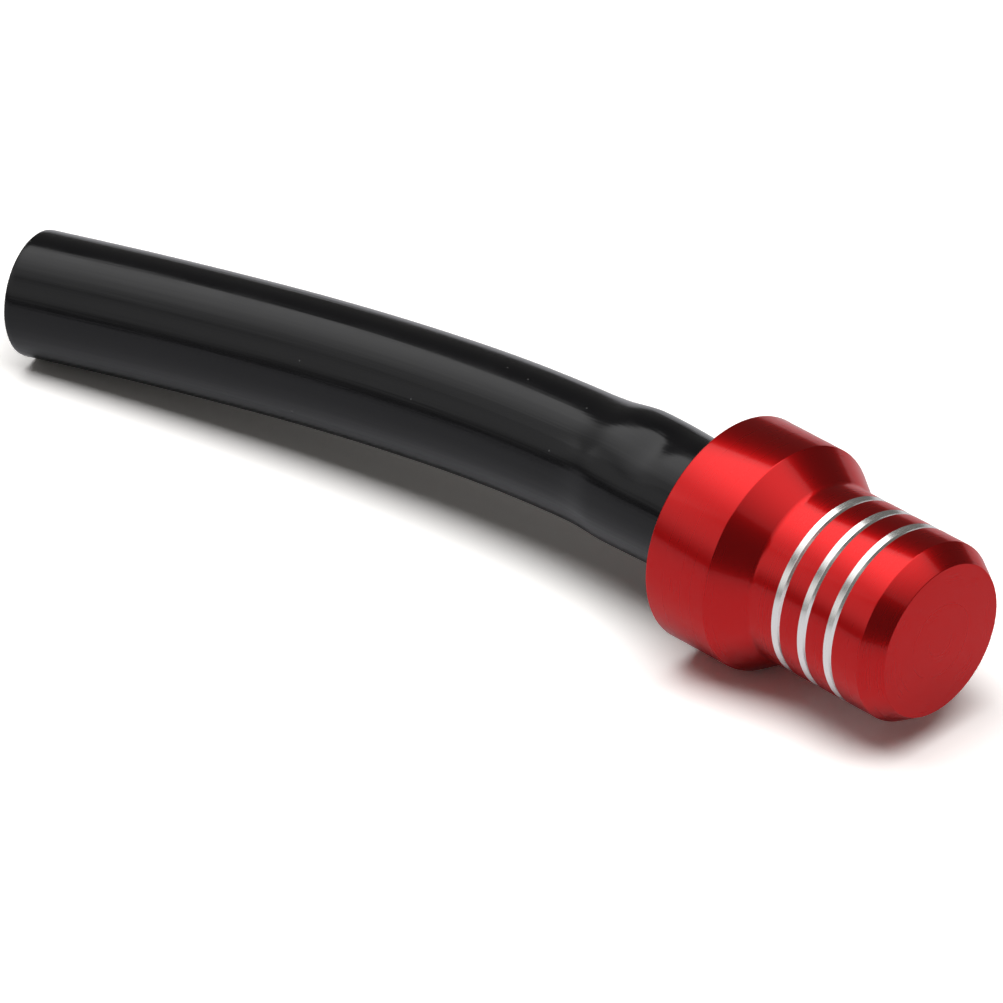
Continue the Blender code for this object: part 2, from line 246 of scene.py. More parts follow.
# Marks on the hose, in cells round and along it: the extruder's lines, and the dust specks, with a speck's
# radius as a share of a cell and the share of the cells that stay clean.
HOSE_LINES = (60, 2.2, 1)
DUST_CELLS = (7, 15, 1)
DUST_RADIUS = 0.016
DUST_FREE = 0.8

# Other marks, in cells to the metre: handling marks on turned metal, smears on steel and on the hose, the
# grain of rubber, and the knife's lines, which run on along Y.
HANDLING_CELLS = 420
STEEL_SMEARS = 900
HOSE_SMEARS = 260
RUBBER_GRAIN = 6000
KNIFE_LINES = 7000
KNIFE_DRAG = (1, 0.15, 1)

# The two colours that a finish varies between.
STEEL_COLOURS = ((0.52, 0.52, 0.54), (0.66, 0.66, 0.67))
RUBBER_COLOURS = ((0.010, 0.010, 0.010), (0.022, 0.021, 0.020))
HOSE_COLOURS = ((0.0015, 0.0015, 0.0022), (0.05, 0.05, 0.05))
CUT_COLOURS = ((0.012, 0.012, 0.012), (0.030, 0.030, 0.031))

# How finely round things are divided.
TURNED_SIDES = 192
HOSE_SIDES = 96
HOSE_RINGS = 170
SMALL_SIDES = 96
O_RING_SIDES = 24
HOLE_SIDES = 24
WIRE_SIDES = 12
COIL_STEPS = 40
SNAP_STEPS = 120
BALL_DIVISIONS = 4
ROUTE_POINTS = 17
TANGENT_REACH = 0.0004
CUTTER_REACH = 0.001
ON_AXIS = 1e-9


# Meshes


def rounded(corners, steps=4, most=0.45, narrowest=0.2):
    """An outline's points, from (place, radius, edge radius) corners; an edge radius of 0 stays sharp.

    An edge takes up at most the share most of a side. The tangent of half a corner's angle counts as no
    less than narrowest, so a narrow corner keeps its tip.
    """
    points = []
    last = len(corners) - 1
    for index, (x, radius, edge) in enumerate(corners):
        here = Vector((x, radius))
        if edge == 0 or index in (0, last):
            points.append(tuple(here))
            continue
        before = Vector(corners[index - 1][:2]) - here
        after = Vector(corners[index + 1][:2]) - here
        reach = edge / max(math.tan(before.angle(after) / 2), narrowest)
        reach = min(reach, before.length * most, after.length * most)
        start = here + before.normalized() * reach
        end = here + after.normalized() * reach
        for step in range(steps + 1):
            share = step / steps
            point = start * (1 - share) ** 2 + here * 2 * share * (1 - share) + end * share**2
            points.append(tuple(point))
    return points


def finished_mesh(name, shape):
    """A mesh made from a bmesh, which is freed."""
    mesh = bpy.data.meshes.new(name)
    shape.to_mesh(mesh)
    shape.free()
    return mesh


def round_axis(radius, angle, x):
    """A point at an angle round the X axis, counted from straight up."""
    return Vector((x, radius * math.sin(angle), radius * math.cos(angle)))


def turned_mesh(name, outline, sides, closed):
    """A mesh turned about the X axis; an open outline starts and ends on the axis."""
    shape = bmesh.new()
    rings = []
    for x, radius in outline:
        if radius < ON_AXIS:
            rings.append([shape.verts.new((x, 0, 0))])
            continue
        ring = []
        for step in range(sides):
            ring.append(shape.verts.new(round_axis(radius, math.tau * step / sides, x)))
        rings.append(ring)
    pairs = list(zip(rings, rings[1:]))
    if closed:
        pairs.append((rings[-1], rings[0]))
    for first, second in pairs:
        for step in range(sides):
            turn = (step + 1) % sides
            if len(first) == 1:
                shape.faces.new((first[0], second[turn], second[step]))
            elif len(second) == 1:
                shape.faces.new((first[step], first[turn], second[0]))
            else:
                shape.faces.new((first[step], first[turn], second[turn], second[step]))
    bmesh.ops.recalc_face_normals(shape, faces=shape.faces[:])
    return finished_mesh(name, shape)


def place(name, mesh, body, finishes, nodes, matrix=VALVE, sharp=35):
    """Shows a mesh as a piece that rides on a body and stands for CAD nodes.

    Its edges stay sharp where they turn by more than sharp degrees.
    """
    mesh.shade_smooth()
    mesh.set_sharp_from_angle(angle=math.radians(sharp))
    for finish in finishes:
        mesh.materials.append(finish)
    piece = bpy.data.objects.new(name, mesh)
    bpy.context.scene.collection.objects.link(piece)
    piece.matrix_world = matrix
    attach(piece, body)
    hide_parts(*nodes)
    return piece


# Materials


class Finish:
    """A material, with short ways to add its nodes."""

    def __init__(self, name, **sockets):
        self.material = bpy.data.materials.new(name)
        self.material.use_nodes = True
        self.tree = self.material.node_tree
        self.shader = self.tree.nodes["Principled BSDF"]
        for socket, value in sockets.items():
            self.shader.inputs[socket.replace("_", " ")].default_value = value

    def add(self, kind, **settings):
        """A new node with its settings."""
        node = self.tree.nodes.new(kind)
        for key, value in settings.items():
            setattr(node, key, value)
        return node

    def link(self, output, target):
        """Links an output to an input of any node."""
        self.tree.links.new(output, target)

    def feed(self, output, socket):
        """Links an output to the shader's named input."""
        self.link(output, self.shader.inputs[socket])

    def math(self, operation, first, second=0.0):
        """A sum, product or comparison of two numbers or outputs."""
        node = self.add("ShaderNodeMath", operation=operation)
        for value, target in ((first, node.inputs[0]), (second, node.inputs[1])):
            if isinstance(value, (int, float)):
                target.default_value = value
            else:
                self.link(value, target)
        return node.outputs[0]

    def noise(self, coordinates, scale, detail=3.0, dimensions="3D"):
        """Noise from about 0.3 to 0.7, with scale cells to a unit of its coordinates."""
        node = self.add("ShaderNodeTexNoise", noise_dimensions=dimensions)
        node.inputs["Scale"].default_value = scale
        node.inputs["Detail"].default_value = detail
        self.link(coordinates, node.inputs["W" if dimensions == "1D" else "Vector"])
        return node.outputs["Fac"]

    def stretched(self, coordinates, sizes):
        """Coordinates with each axis multiplied by its own size."""
        node = self.add("ShaderNodeVectorMath", operation="MULTIPLY")
        self.link(coordinates, node.inputs[0])
        node.inputs[1].default_value = sizes
        return node.outputs[0]

    def span(self, value, low, high, start=0.3, end=0.7):
        """A number that goes from low to high as value goes from start to end."""
        node = self.add("ShaderNodeMapRange")
        self.link(value, node.inputs["Value"])
        node.inputs["From Min"].default_value = start
        node.inputs["From Max"].default_value = end
        node.inputs["To Min"].default_value = low
        node.inputs["To Max"].default_value = high
        return node.outputs["Result"]

    def shades(self, value, dark, light, start=0.3, end=0.7):
        """A colour between two, as value goes from start to end."""
        node = self.add("ShaderNodeMix", data_type="RGBA")
        self.link(self.span(value, 0.0, 1.0, start, end), node.inputs["Factor"])
        node.inputs["A"].default_value = (*dark, 1)
        node.inputs["B"].default_value = (*light, 1)
        return node.outputs["Result"]

    def bump(self, height, distance):
        """Makes the surface look raised, by up to a distance, where height is large."""
        node = self.add("ShaderNodeBump")
        node.inputs["Distance"].default_value = distance
        node.inputs["Strength"].default_value = 1.0
        self.link(height, node.inputs["Height"])
        self.feed(node.outputs["Normal"], "Normal")

    def turning_lines(self, scale):
        """Noise in fine rings about the X axis, on cylinders, cones and end faces alike."""
        point = self.add("ShaderNodeTexCoord").outputs["Object"]
        split = self.add("ShaderNodeSeparateXYZ")
        self.link(point, split.inputs[0])
        radius = self.add("ShaderNodeVectorMath", operation="LENGTH")
        self.link(self.stretched(point, (0, 1, 1)), radius.inputs[0])
        path = self.math("SUBTRACT", split.outputs["X"], radius.outputs["Value"])
        return self.noise(path, scale, detail=2.0, dimensions="1D"), point


def turned_metal(name, dark, light, roughness, anisotropy, grain, bump, **sockets):
    """Metal from a lathe: fine rings in its colour, gloss and surface, and faint handling marks."""
    finish = Finish(name, Metallic=1.0, Anisotropic=anisotropy, **sockets)
    rings, point = finish.turning_lines(grain)
    marks = finish.noise(point, HANDLING_CELLS, detail=4.0)
    finish.feed(finish.shades(rings, dark, light), "Base Color")
    mixed = finish.math("ADD", finish.math("MULTIPLY", rings, 0.6), finish.math("MULTIPLY", marks, 0.4))
    finish.feed(finish.span(mixed, *roughness), "Roughness")
    finish.bump(rings, bump)
    tangent = finish.add("ShaderNodeTangent", direction_type="RADIAL", axis="X")
    finish.feed(tangent.outputs[0], "Tangent")
    return finish.material


def drawn_steel(name, roughness):
    """Bright steel with faint smears."""
    finish = Finish(name, Metallic=1.0)
    point = finish.add("ShaderNodeTexCoord").outputs["Object"]
    smears = finish.noise(point, STEEL_SMEARS, detail=5.0)
    finish.feed(finish.shades(smears, *STEEL_COLOURS), "Base Color")
    finish.feed(finish.span(smears, *roughness), "Roughness")
    finish.bump(smears, 0.000004)
    return finish.material


def nitrile():
    """Matt black rubber with a fine moulded grain."""
    finish = Finish("nitrile")
    point = finish.add("ShaderNodeTexCoord").outputs["Object"]
    grain = finish.noise(point, RUBBER_GRAIN)
    finish.feed(finish.shades(grain, *RUBBER_COLOURS), "Base Color")
    finish.feed(finish.span(grain, 0.5, 0.7), "Roughness")
    finish.bump(grain, 0.00001)
    return finish.material


def hose_skin():
    """Glossy extruded black: faint lines along the hose, faint smears, and a few specks of dust."""
    finish = Finish("black_hose", IOR=1.37)
    wrap = finish.add("ShaderNodeUVMap", uv_map="hose").outputs[0]
    lines = finish.noise(finish.stretched(wrap, HOSE_LINES), 1.0)
    point = finish.add("ShaderNodeTexCoord").outputs["Object"]
    smears = finish.noise(point, HOSE_SMEARS, detail=4.0)
    dust = finish.add("ShaderNodeTexVoronoi", feature="F1", voronoi_dimensions="2D")
    dust.inputs["Scale"].default_value = 1.0
    finish.link(finish.stretched(wrap, DUST_CELLS), dust.inputs["Vector"])
    chosen = finish.add("ShaderNodeSeparateColor")
    finish.link(dust.outputs["Color"], chosen.inputs[0])
    near = finish.math("LESS_THAN", dust.outputs["Distance"], DUST_RADIUS)
    rare = finish.math("GREATER_THAN", chosen.outputs[0], DUST_FREE)
    speck = finish.math("MULTIPLY", near, rare)
    finish.feed(finish.shades(speck, *HOSE_COLOURS, start=0.0, end=1.0), "Base Color")
    finish.feed(finish.span(smears, 0.15, 0.21), "Roughness")
    finish.bump(lines, 0.00002)
    return finish.material


def hose_cut():
    """The knife-cut face of the hose: dull, with fine drag lines across it."""
    finish = Finish("hose_cut")
    point = finish.add("ShaderNodeTexCoord").outputs["Object"]
    lines = finish.noise(finish.stretched(point, KNIFE_DRAG), KNIFE_LINES)
    finish.feed(finish.shades(lines, *CUT_COLOURS), "Base Color")
    finish.feed(finish.span(lines, 0.45, 0.65), "Roughness")
    finish.bump(lines, 0.00003)
    return finish.material


# Pieces


def add_body(red, bright):
    """The shell, hollow from behind; the three grooves are bright where they pass the red layer."""
    cone_end = COLLAR_LENGTH + CONE_LENGTH
    corners = [
        (CHAMBER_END, 0.0, 0),
        (CHAMBER_END, CHAMBER_RADIUS, CHAMBER_EDGE),
        (CUP_DEPTH, CHAMBER_RADIUS, FINE_EDGE),
        (CUP_DEPTH, CUP_RADIUS, FINE_EDGE),
        (SNAP_GROOVE_END, CUP_RADIUS, SNAP_GROOVE_EDGE),
        (SNAP_GROOVE_END, SNAP_GROOVE_RADIUS, SNAP_GROOVE_EDGE),
        (SNAP_GROOVE_START, SNAP_GROOVE_RADIUS, SNAP_GROOVE_EDGE),
        (SNAP_GROOVE_START, CUP_RADIUS, SNAP_GROOVE_EDGE),
        (CUP_LEAD_IN, CUP_RADIUS, HAIR_EDGE),
        (0.0, CUP_RADIUS + CUP_LEAD_IN, HAIR_EDGE),
        (0.0, COLLAR_RADIUS, REAR_EDGE),
        (COLLAR_LENGTH, COLLAR_RADIUS, COLLAR_EDGE),
        (cone_end, BARREL_RADIUS, CONE_EDGE),
    ]
    rear_edge, lowest_edge, front_edge = GROOVE_EDGES
    for groove in GROOVE_PLACES:
        corners += [
            (groove - GROOVE_WIDTH / 2, BARREL_RADIUS, rear_edge),
            (groove + GROOVE_LOWEST, BARREL_RADIUS - GROOVE_DEPTH, lowest_edge),
            (groove + GROOVE_WIDTH / 2, BARREL_RADIUS, front_edge),
        ]
    corners += [
        (BODY_LENGTH - CHAMFER_LENGTH, BARREL_RADIUS, SOFT_EDGE),
        (BODY_LENGTH, NOSE_RADIUS, NOSE_EDGE),
        (BODY_LENGTH, 0.0, 0),
    ]
    mesh = turned_mesh("vent_body_skin", rounded(corners), TURNED_SIDES, closed=False)
    for face in mesh.polygons:
        middle = face.center
        radius = math.hypot(middle.y, middle.z)
        cut = any(abs(middle.x - groove) < GROOVE_WIDTH / 2 for groove in GROOVE_PLACES)
        if cut and BARREL_RADIUS - 2 * GROOVE_DEPTH < radius < BARREL_RADIUS - ANODISED_DEPTH:
            face.material_index = 1
    place("vent_body_skin", mesh, "vent", [red, bright], ["vent_body"], sharp=50)


def hose_centreline():
    """Closely spaced points on the smooth cubic through the route's points, and their arc lengths."""
    route = [Vector(point) for point in HOSE_ROUTE]
    ahead = [2 * route[0] - route[1]] + route + [2 * route[-1] - route[-2]]
    line = []
    for index in range(1, len(ahead) - 2):
        before, start, end, after = ahead[index - 1 : index + 3]
        leaving = start + (end - before) / 6
        arriving = end - (after - start) / 6
        line += interpolate_bezier(start, leaving, arriving, end, ROUTE_POINTS)[:-1]
    line.append(route[-1])
    lengths = np.concatenate([[0.0], np.cumsum([(b - a).length for a, b in zip(line, line[1:])])])
    return np.array([tuple(point) for point in line]), lengths


def swell(distance):
    """How far the hose is swollen at a distance along it, from 0 to 1 over the bead."""
    past_bead = distance - (HOSE_GRIP - BEAD_PLACE)
    spread = SWELL_SPREAD if past_bead > 0 else SWELL_TAIL
    return math.exp(-0.5 * (past_bead / spread) ** 2)


def add_hose(skin, cut):
    """The hose: outer and inner wall, swollen over the bead, and square-cut ends with rounded edges."""
    line, lengths = hose_centreline()
    total = lengths[-1]
    angles = (0.0, 0.5, 1.05)
    edge = [(HOSE_EDGE * (1 - math.cos(angle)), HOSE_EDGE * (1 - math.sin(angle))) for angle in angles]
    outside = [(d, -inset) for d, inset in edge]
    outside += [(d, 0.0) for d in np.linspace(HOSE_EDGE, total - HOSE_EDGE, HOSE_RINGS)]
    outside += [(total - d, -inset) for d, inset in reversed(edge)]
    inside = [(total - d, inset) for d, inset in edge]
    inside += [(d, 0.0) for d in np.linspace(total - HOSE_EDGE, HOSE_EDGE, HOSE_RINGS // 2)]
    inside += [(d, inset) for d, inset in reversed(edge)]

    def add_ring(distance, radius, above, below, dent=0.0):
        """A ring of vertices across the hose, standing proud by above on top and by below underneath."""
        reach = (distance, distance - TANGENT_REACH, distance + TANGENT_REACH)
        centre, behind, ahead = (
            Vector([np.interp(at, lengths, line[:, axis]) for axis in range(3)]) for at in reach
        )
        along = (ahead - behind).normalized()
        side = along.cross(Vector((0, 0, 1))).normalized()
        up = side.cross(along)
        ring = []
        for step in range(HOSE_SIDES):
            angle = math.tau * step / HOSE_SIDES
            share = (1 + math.cos(angle)) / 2
            spoke = side * math.sin(angle) + up * math.cos(angle)
            off = math.remainder(angle - DENT_ANGLE, math.tau) * HOSE_RADIUS / DENT_WIDTH
            height = radius + below + (above - below) * share - dent * math.exp(-0.5 * off * off)
            ring.append(shape.verts.new(centre + height * spoke))
        rings.append((ring, distance))
        return centre

    shape = bmesh.new()
    rings = []
    for distance, offset in outside:
        swollen = swell(distance)
        along_dent = (distance - HOSE_GRIP + DENT_PLACE) / DENT_LENGTH
        dent = DENT_DEPTH * math.exp(-0.5 * along_dent * along_dent)
        radius = HOSE_RADIUS + offset
        add_ring(distance, radius, SWELL_ABOVE * swollen, SWELL_BELOW * swollen, dent)
    outer_count = len(rings)
    for distance, offset in inside:
        rise = SWELL_INSIDE * swell(distance)
        add_ring(distance, HOSE_BORE_RADIUS + offset, rise, rise)
    wrap = shape.loops.layers.uv.new("hose")
    for index in range(len(rings)):
        first, from_first = rings[index]
        second, from_second = rings[(index + 1) % len(rings)]
        end_face = index in (outer_count - 1, len(rings) - 1)
        for step in range(HOSE_SIDES):
            turn = (step + 1) % HOSE_SIDES
            face = shape.faces.new((first[step], first[turn], second[turn], second[step]))
            face.material_index = 1 if end_face else 0
            spots = ((step, from_first), (step + 1, from_first), (step + 1, from_second), (step, from_second))
            for loop, (around, distance) in zip(face.loops, spots):
                loop[wrap].uv = (around / HOSE_SIDES, distance / total)
    bmesh.ops.recalc_face_normals(shape, faces=shape.faces[:])
    mesh = finished_mesh("vent_hose_skin", shape)
    hose = place(
        "vent_hose_skin",
        mesh,
        "vent",
        [skin, cut],
        ["vent_hose"],
        matrix=Matrix.Identity(4),
        sharp=50,
    )


def teeth(start, end, count, outer, depth):
    """Corners of a row of thread grooves, from start to end along the axis."""
    pitch = (end - start) / count
    corners = []
    for index in range(count):
        at = start + pitch * index
        corners.append((at, outer, 0))
        corners.append((at + pitch / 2, outer - depth, 0))
    corners.append((end, outer, 0))
    return corners


def cut_holes(piece, name, start, end, ring, angles, radius):
    """Cuts round holes along the axis, at angles on a ring, through what lies from start to end."""
    shape = bmesh.new()
    lie_down = Matrix.Rotation(math.pi / 2, 4, "Y")
    for angle in angles:
        bmesh.ops.create_cone(
            shape,
            cap_ends=True,
            segments=HOLE_SIDES,
            radius1=radius,
            radius2=radius,
            depth=end - start + 2 * CUTTER_REACH,
            matrix=Matrix.Translation(round_axis(ring, angle, (start + end) / 2)) @ lie_down,
        )
    cut_shape(piece, name, shape)


def cut_shape(piece, name, shape):
    """Cuts a bmesh, given from the collar's rear face along the valve's axis, out of a piece."""
    cutter = bpy.data.objects.new(name, finished_mesh(name, shape))
    bpy.context.scene.collection.objects.link(cutter)
    cutter.matrix_world = VALVE
    modifier = piece.modifiers.new(name, "BOOLEAN")
    modifier.operation = "DIFFERENCE"
    modifier.solver = "EXACT"
    modifier.object = cutter
    bpy.context.view_layer.update()
    cut = bpy.data.meshes.new_from_object(piece.evaluated_get(bpy.context.evaluated_depsgraph_get()))
    piece.modifiers.clear()
    piece.data = cut
    bpy.data.objects.remove(cutter)


def add_stem(brass):
    """The insert: beaded nipple, flange with air holes and rim groove, and the valve chamber's tube."""
    corners = [
        (NIPPLE_TIP, PASSAGE_RADIUS, 0),
        (NIPPLE_TIP, NIPPLE_TIP_RADIUS, BROKEN_EDGE),
        (BEAD_PLACE - BEAD_FRONT, BEAD_RADIUS - BEAD_CROWN, ROUND_EDGE),
        (BEAD_PLACE, BEAD_RADIUS, ROUND_EDGE),
        (BEAD_PLACE + BEAD_BACK, BEAD_RADIUS - BEAD_CROWN, SOFT_EDGE),
        (BEAD_PLACE + BEAD_END, SHANK_RADIUS, SOFT_EDGE),
        (FLANGE_START, SHANK_RADIUS, ROUND_EDGE),
        (FLANGE_START, FLANGE_RADIUS, FINE_EDGE),
        (RIM_GROOVE_START, FLANGE_RADIUS, HAIR_EDGE),
        (RIM_GROOVE_START, RIM_GROOVE_RADIUS, HAIR_EDGE),
        (RIM_GROOVE_END, RIM_GROOVE_RADIUS, HAIR_EDGE),
        (RIM_GROOVE_END, FLANGE_RADIUS, HAIR_EDGE),
        (FLANGE_END, FLANGE_RADIUS, FINE_EDGE),
        (FLANGE_END, TUBE_RADIUS, SOFT_EDGE),
        (TUBE_END, TUBE_RADIUS, SOFT_EDGE),
        (TUBE_END, SEAT_BORE_RADIUS, FINE_EDGE),
        (SEAT_STEP, SEAT_BORE_RADIUS, HAIR_EDGE),
        (SEAT_STEP, BALL_BORE_RADIUS, HAIR_EDGE),
        (SPRING_FLOOR, BALL_BORE_RADIUS, BROKEN_EDGE),
        (SPRING_FLOOR, PASSAGE_RADIUS, FINE_EDGE),
    ]
    outline = rounded(corners + [corners[0]])[:-1]
    mesh = turned_mesh("valve_stem_fine", outline, SMALL_SIDES, closed=True)
    stem = place("valve_stem_fine", mesh, "vent", [brass], ["valve_stem"])
    angles = [math.tau * (index + 0.5) / AIR_HOLES for index in range(AIR_HOLES)]
    cut_holes(
        stem,
        "air_hole_cutter",
        FLANGE_START,
        FLANGE_END,
        AIR_HOLE_RING,
        angles,
        AIR_HOLE_RADIUS,
    )


def add_seat_plug(brass):
    """The slotted screw plug with the air hole."""
    rim = PLUG_RADIUS - PLUG_CHAMFER
    corners = [
        (PLUG_START, PLUG_HOLE_RADIUS, 0),
        (PLUG_START, rim, HAIR_EDGE),
        *teeth(THREAD_START, THREAD_END, THREAD_RINGS, PLUG_RADIUS, THREAD_DEPTH),
        (PLUG_END, rim, FINE_EDGE),
        (PLUG_END, PLUG_HOLE_RADIUS, FINE_EDGE),
        (PLUG_START, PLUG_HOLE_RADIUS, 0),
    ]
    mesh = turned_mesh("seat_plug_fine", rounded(corners)[:-1], SMALL_SIDES, closed=True)
    plug = place("seat_plug_fine", mesh, "vent", [brass], ["seat_plug"], sharp=25)
    slot = bmesh.new()
    bmesh.ops.create_cube(slot, size=1.0)
    bmesh.ops.scale(slot, vec=(2 * SLOT_DEPTH, SLOT_WIDTH, 3 * PLUG_RADIUS), verts=slot.verts[:])
    bmesh.ops.translate(slot, vec=(PLUG_END, 0, 0), verts=slot.verts[:])
    cut_shape(plug, "driver_slot_cutter", slot)


def add_o_ring(rubber):
    """The round-section ring in the groove of the flange's rim."""
    middle = (RIM_GROOVE_START + RIM_GROOVE_END) / 2
    outline = []
    for step in range(O_RING_SIDES):
        angle = math.tau * step / O_RING_SIDES
        x = middle + O_RING_SECTION * math.cos(angle)
        outline.append((x, O_RING_RADIUS + O_RING_SECTION * math.sin(angle)))
    mesh = turned_mesh("stem_o_ring_fine", outline, SMALL_SIDES, closed=True)
    place("stem_o_ring_fine", mesh, "vent", [rubber], ["stem_o_ring"])


def add_seat_ring(rubber):
    """The soft flat ring that the ball closes on; its outline starts half way across the rear face."""
    middle = (SEAT_HOLE_RADIUS + SEAT_RADIUS) / 2
    end = SEAT_START + SEAT_THICKNESS
    corners = [
        (SEAT_START, middle, 0),
        (SEAT_START, SEAT_HOLE_RADIUS, SEAT_HOLE_EDGE),
        (end, SEAT_HOLE_RADIUS, FINE_EDGE),
        (end, SEAT_RADIUS, FINE_EDGE),
        (SEAT_START, SEAT_RADIUS, FINE_EDGE),
        (SEAT_START, middle, 0),
    ]
    mesh = turned_mesh("seat_ring_fine", rounded(corners)[:-1], SMALL_SIDES, closed=True)
    place("seat_ring_fine", mesh, "vent", [rubber], ["seat_ring"])


def add_snap_ring(steel):
    """An internal retaining ring: a flat C with a lug and a plier hole at each end."""
    open_from = SNAP_GAP / 2
    shape = bmesh.new()
    outer = []
    inner = []
    for step in range(SNAP_STEPS + 1):
        angle = open_from + (math.tau - SNAP_GAP) * step / SNAP_STEPS
        from_end = min(angle - open_from, math.tau - open_from - angle)
        blend = min(max((from_end - SNAP_LUG) / SNAP_LUG_BLEND, 0.0), 1.0)
        width = SNAP_LUG_WIDTH + (SNAP_WIDTH - SNAP_LUG_WIDTH) * blend * blend * (3 - 2 * blend)
        outer.append(shape.verts.new(round_axis(SNAP_OUTER_RADIUS, angle, SNAP_START)))
        inner.append(shape.verts.new(round_axis(SNAP_OUTER_RADIUS - width, angle, SNAP_START)))
    for step in range(SNAP_STEPS):
        shape.faces.new((outer[step], outer[step + 1], inner[step + 1], inner[step]))
    raised = bmesh.ops.extrude_face_region(shape, geom=shape.faces[:])
    moved = [item for item in raised["geom"] if isinstance(item, bmesh.types.BMVert)]
    bmesh.ops.translate(shape, vec=(SNAP_THICKNESS, 0, 0), verts=moved)
    bmesh.ops.recalc_face_normals(shape, faces=shape.faces[:])
    mesh = finished_mesh("retaining_ring_fine", shape)
    ring = place("retaining_ring_fine", mesh, "vent", [steel], ["retaining_ring"], sharp=30)
    hole = open_from + SNAP_LUG * SNAP_HOLE_SHARE
    cut_holes(
        ring,
        "plier_hole_cutter",
        SNAP_START,
        SNAP_START + SNAP_THICKNESS,
        SNAP_OUTER_RADIUS - SNAP_LUG_WIDTH / 2,
        (-hole, hole),
        SNAP_HOLE_RADIUS,
    )


def spring_height(turn):
    """How far along the axis the wire has climbed, with a closer turn at each end."""
    turns = 2 * END_TURNS + WORKING_TURNS
    climb = SPRING_LENGTH - 2 * WIRE_RADIUS
    working_pitch = (climb - 2 * END_TURNS * END_PITCH) / WORKING_TURNS
    if turn <= END_TURNS:
        return END_PITCH * turn
    if turn >= turns - END_TURNS:
        return climb - END_PITCH * (turns - turn)
    return END_PITCH * END_TURNS + working_pitch * (turn - END_TURNS)


def add_spring(steel):
    """The return spring, a wire along a helix, given a mesh of its own."""
    turns = 2 * END_TURNS + WORKING_TURNS
    steps = int(turns * COIL_STEPS)
    forward = Vector((1, 0, 0))
    shape = bmesh.new()
    rings = []
    for index in range(steps + 1):
        turn = turns * index / steps
        angle = math.tau * turn
        centre = round_axis(COIL_RADIUS, angle, SPRING_START + WIRE_RADIUS + spring_height(turn))
        out = round_axis(1.0, angle, 0)
        ring = []
        for step in range(WIRE_SIDES):
            around = math.tau * step / WIRE_SIDES
            spoke = out * math.cos(around) + forward * math.sin(around)
            ring.append(shape.verts.new(centre + WIRE_RADIUS * spoke))
        rings.append(ring)
    for first, second in zip(rings, rings[1:]):
        for step in range(WIRE_SIDES):
            turn = (step + 1) % WIRE_SIDES
            shape.faces.new((first[step], first[turn], second[turn], second[step]))
    shape.faces.new(rings[0])
    shape.faces.new(rings[-1])
    bmesh.ops.recalc_face_normals(shape, faces=shape.faces[:])
    mesh = finished_mesh("valve_spring_fine", shape)
    spring = place("valve_spring_fine", mesh, "vent", [steel], ["valve_spring"])
    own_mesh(spring)


def add_ball(steel):
    """The check ball, which moves along the valve's axis."""
    shape = bmesh.new()
    bmesh.ops.create_icosphere(shape, subdivisions=BALL_DIVISIONS, radius=BALL_RADIUS)
    mesh = finished_mesh("check_ball_fine", shape)
    matrix = VALVE @ Matrix.Translation((BALL_PLACE, 0, 0))
    place("check_ball_fine", mesh, "ball", [steel], ["check_ball"], matrix=matrix)


# Stage


def add_floor():
    """A pale floor; the camera sees it brighter than the object does, as in a cut-out photo."""
    shape = bmesh.new()
    bmesh.ops.create_grid(shape, x_segments=1, y_segments=1, size=FLOOR_REACH)
    mesh = finished_mesh("floor", shape)
    floor = bpy.data.objects.new("floor", mesh)
    bpy.context.scene.collection.objects.link(floor)
    floor.location.z = cad_box[0].z - FLOOR_GAP
    finish = Finish("floor_paper")
    finish.tree.nodes.remove(finish.shader)
    tone = finish.add("ShaderNodeMix", data_type="RGBA")
    finish.link(finish.add("ShaderNodeLightPath").outputs["Is Camera Ray"], tone.inputs["Factor"])
    tone.inputs["A"].default_value = (*FLOOR_REFLECTED, 1)
    tone.inputs["B"].default_value = (*FLOOR_SEEN, 1)
    paper = finish.add("ShaderNodeBsdfDiffuse")
    finish.link(tone.outputs["Result"], paper.inputs["Color"])
    finish.link(paper.outputs[0], finish.tree.nodes["Material Output"].inputs["Surface"])
    mesh.materials.append(finish.material)


def add_world():
    """A dim room, with white behind the floor."""
    world = bpy.data.worlds.new("studio")
    bpy.context.scene.world = world
    world.use_nodes = True
    tree = world.node_tree
    rays = tree.nodes.new("ShaderNodeLightPath").outputs["Is Camera Ray"]
    tone = tree.nodes.new("ShaderNodeMix")
    tone.data_type = "RGBA"
    tree.links.new(rays, tone.inputs["Factor"])
    tone.inputs["A"].default_value = (*ROOM_COLOUR, 1)
    tone.inputs["B"].default_value = (1, 1, 1, 1)
    tree.links.new(tone.outputs["Result"], tree.nodes["Background"].inputs["Color"])


def add_panel(name, centre, aim, width, height, radiance):
    """A rectangular light of a known radiance, from centre towards aim; its width runs level."""
    light = bpy.data.lights.new(name, "AREA")
    light.shape = "RECTANGLE"
    light.size = width
    light.size_y = height
    light.energy = radiance * math.pi * width * height
    lamp = bpy.data.objects.new(name, light)
    bpy.context.scene.collection.objects.link(lamp)
    lamp.location = centre
    lamp.rotation_euler = (Vector(aim) - Vector(centre)).to_track_quat("-Z", "Y").to_euler()
    return lamp


def add_overhead(name, centre, size, radiance):
    """A level panel at LIGHT_HEIGHT, facing down."""
    spot = Vector(centre) * LIGHT_HEIGHT
    sides = Vector(size) * LIGHT_HEIGHT
    return add_panel(name, (*spot, LIGHT_HEIGHT), (*spot, 0), sides.x, sides.y, radiance)


